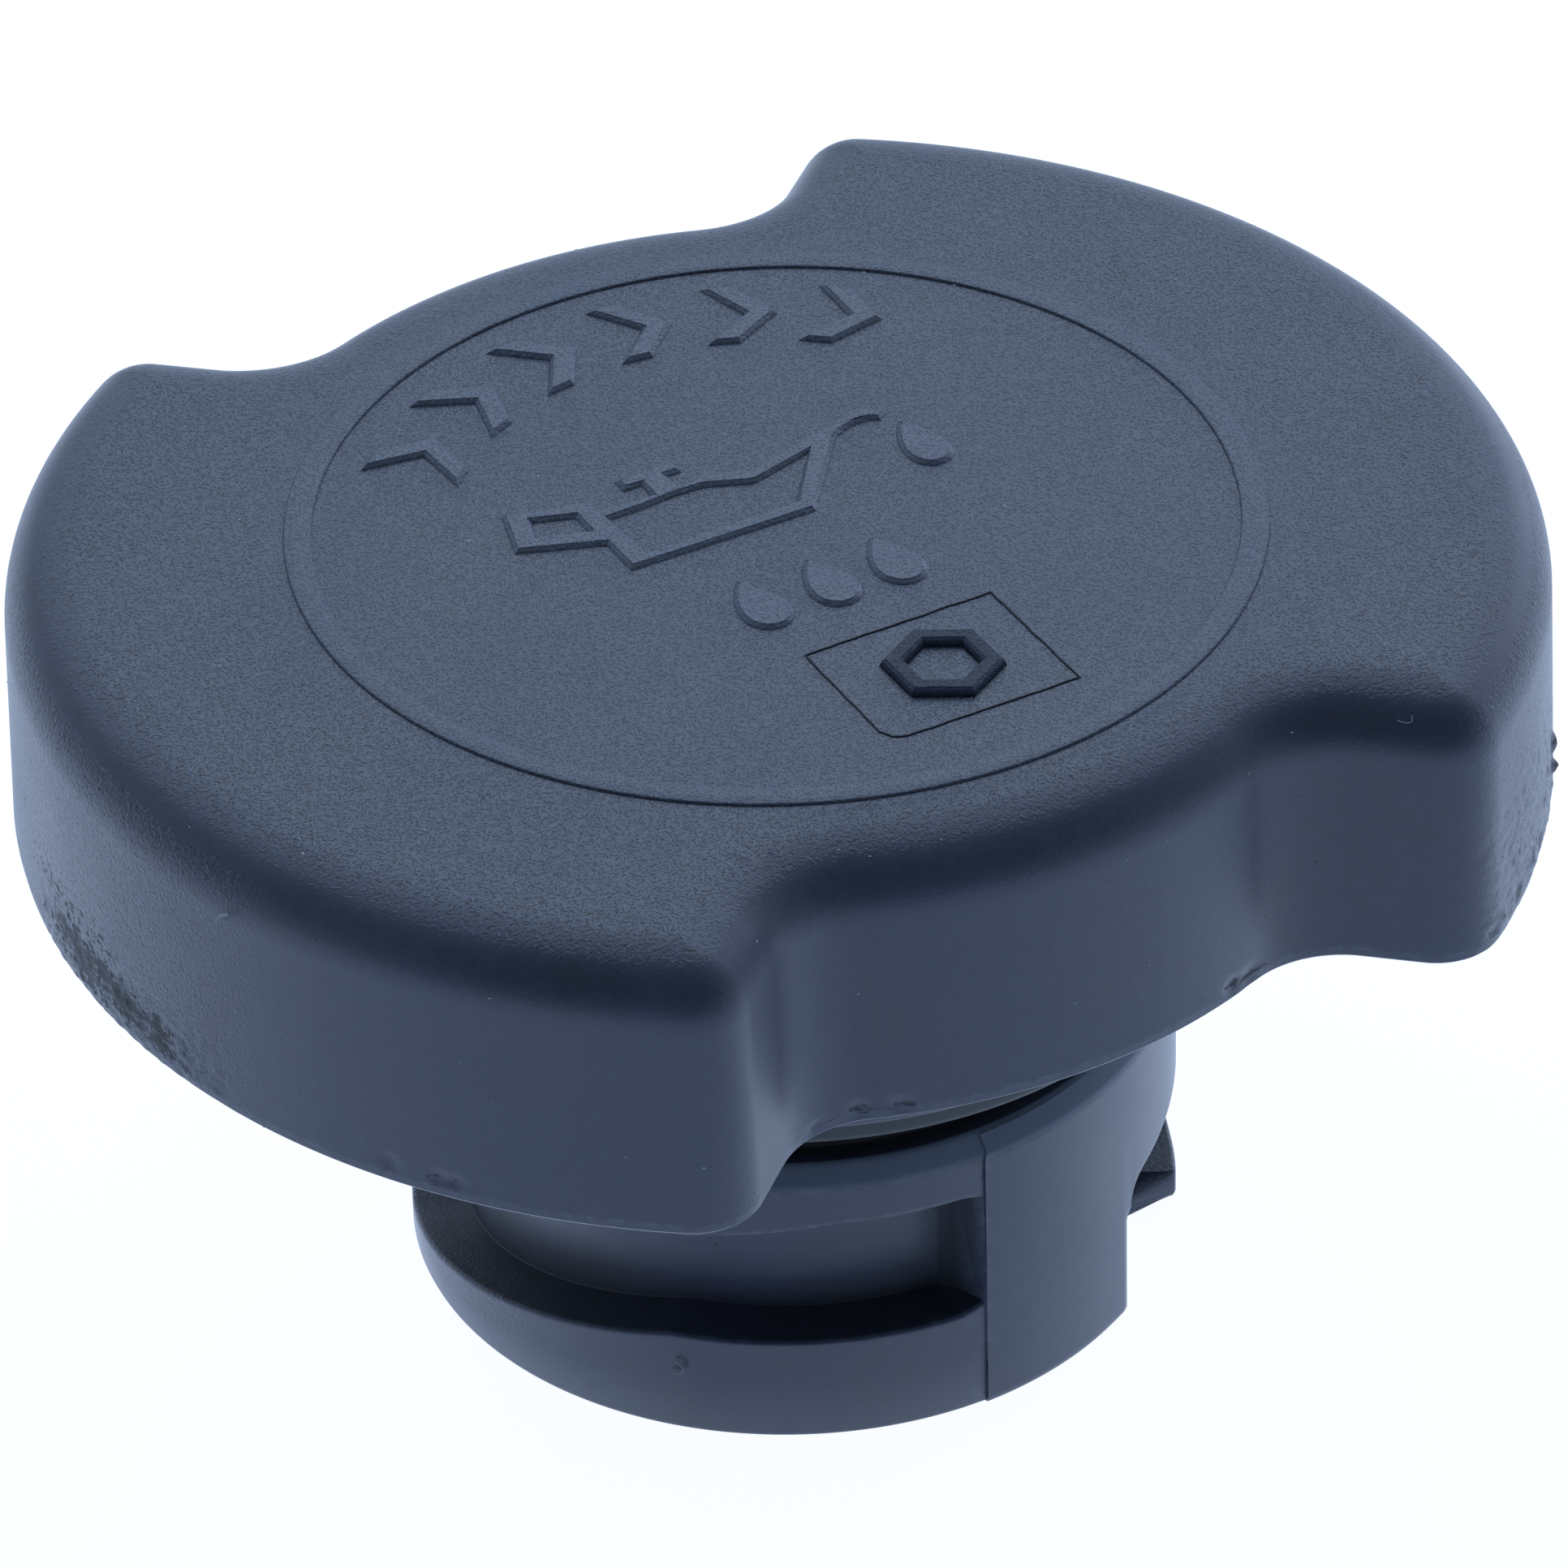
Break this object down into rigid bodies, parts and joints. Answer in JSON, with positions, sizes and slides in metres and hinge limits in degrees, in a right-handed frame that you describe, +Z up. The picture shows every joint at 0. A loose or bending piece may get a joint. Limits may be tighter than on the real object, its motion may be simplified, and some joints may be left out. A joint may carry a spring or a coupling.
{
  "type": "oil filler cap",
  "caption": "Hand-turned engine oil filler cap: a winged knob moulded in one piece with a hollow bayonet neck, and a rubber sealing ring.",
  "frame": {"origin": "centre of the neck's lower end, on the turning axis", "axes": "+Z up along the turning axis from the neck to the knob; the wings point along +X and -X, the finger valleys along +Y and -Y"},
  "size_m": [0.0664, 0.0548, 0.0367],
  "materials": {
    "cap": "glass-filled nylon, blue-black, spark-eroded satin grain",
    "sealing_ring": "moulded nitrile rubber, dark grey, matt"
  },
  "bodies": {
    "root": {"cap": "cap", "sealing_ring": "sealing_ring"}
  },
  "joints": []
}
